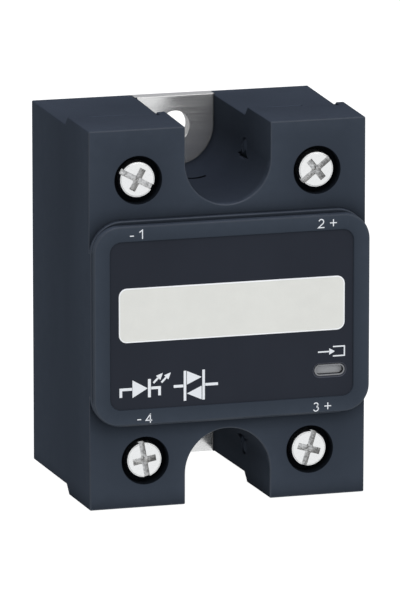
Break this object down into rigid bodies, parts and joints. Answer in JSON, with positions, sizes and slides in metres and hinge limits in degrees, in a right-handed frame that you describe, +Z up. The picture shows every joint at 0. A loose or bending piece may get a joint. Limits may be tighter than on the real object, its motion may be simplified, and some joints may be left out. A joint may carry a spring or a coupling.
{
  "type": "solid state relay",
  "caption": "Upright panel-mount solid state relay with a raised label bezel, end notches for fixing screws and box-clamp terminals with crossed-slot screws.",
  "frame": {"origin": "middle between the two fixing holes, on the baseplate's mounting face", "axes": "+Z up the relay's length, +Y out of the mounting face towards the panel behind, -Y to the front"},
  "size_m": [0.044, 0.0334, 0.0582],
  "materials": {
    "baseplate": "milled plate, light satin",
    "sealant": "cured silicone",
    "copper": "bare copper",
    "ceramic": "white ceramic",
    "silicon": "bare silicon",
    "pin_metal": "plated",
    "gel": "soft dark gel",
    "board": "solder mask over glass laminate",
    "chip_white": "moulded epoxy",
    "chip_black": "moulded epoxy",
    "capacitor": "fired ceramic",
    "led": "clear resin",
    "light_guide": "translucent grey",
    "bar": "tinned brass",
    "housing": "fine moulded grain",
    "bezel": "fine moulded grain, slightly smoother",
    "label": "printed film, satin",
    "marking": "white writable film",
    "cage": "zinc plated",
    "screw": "nickel plated"
  },
  "bodies": {
    "relay": {"baseplate": "baseplate", "sealant_bead": "sealant", "substrate_copper_base": "copper", "ceramic_substrate": "ceramic", "copper_traces": "copper", "mosfet_dies": "silicon", "bond_clips": "copper", "link_pins": "pin_metal", "potting_gel": "gel", "control_board": "board", "optocoupler": "chip_white", "driver_chip": "chip_black", "chip_resistors": "chip_black", "chip_capacitors": "capacitor", "surge_diode": "chip_black", "status_led": "led", "light_guide": "light_guide", "output_bar_1": "bar", "output_bar_2": "bar", "input_bar_3": "bar", "input_bar_4": "bar", "rear_housing": "housing", "front_housing": "housing", "bezel": "bezel", "label_panel": "label", "marking_strip": "marking"},
    "cage_1": {"clamp_cage_1": "cage"},
    "cage_2": {"clamp_cage_2": "cage"},
    "cage_3": {"clamp_cage_3": "cage"},
    "cage_4": {"clamp_cage_4": "cage"},
    "screw_1": {"terminal_screw_1": "screw"},
    "screw_2": {"terminal_screw_2": "screw"},
    "screw_3": {"terminal_screw_3": "screw"},
    "screw_4": {"terminal_screw_4": "screw"}
  },
  "joints": [
    {"name": "screw_1_turn", "type": "hinge", "parent": "relay", "child": "screw_1", "pos_m": [-0.0139, -0.02825, 0.0216], "axis": [0, 1, 0], "range_deg": [0, 2006]},
    {"name": "cage_1_slide", "type": "slide", "parent": "relay", "child": "cage_1", "axis": [0, -1, 0], "range_m": [0, 0.0039]},
    {"name": "screw_2_turn", "type": "hinge", "parent": "relay", "child": "screw_2", "pos_m": [0.0139, -0.02825, 0.0216], "axis": [0, 1, 0], "range_deg": [0, 2006]},
    {"name": "cage_2_slide", "type": "slide", "parent": "relay", "child": "cage_2", "axis": [0, -1, 0], "range_m": [0, 0.0039]},
    {"name": "screw_3_turn", "type": "hinge", "parent": "relay", "child": "screw_3", "pos_m": [0.0129, -0.02825, -0.0213], "axis": [0, 1, 0], "range_deg": [0, 2006]},
    {"name": "cage_3_slide", "type": "slide", "parent": "relay", "child": "cage_3", "axis": [0, -1, 0], "range_m": [0, 0.0039]},
    {"name": "screw_4_turn", "type": "hinge", "parent": "relay", "child": "screw_4", "pos_m": [-0.0129, -0.02825, -0.0213], "axis": [0, 1, 0], "range_deg": [0, 2006]},
    {"name": "cage_4_slide", "type": "slide", "parent": "relay", "child": "cage_4", "axis": [0, -1, 0], "range_m": [0, 0.0039]}
  ],
  "couplings": [
    {"joint": "screw_1_turn", "follows": "cage_1_slide", "rad_per_m": 8976},
    {"joint": "screw_2_turn", "follows": "cage_2_slide", "rad_per_m": 8976},
    {"joint": "screw_3_turn", "follows": "cage_3_slide", "rad_per_m": 8976},
    {"joint": "screw_4_turn", "follows": "cage_4_slide", "rad_per_m": 8976}
  ]
}
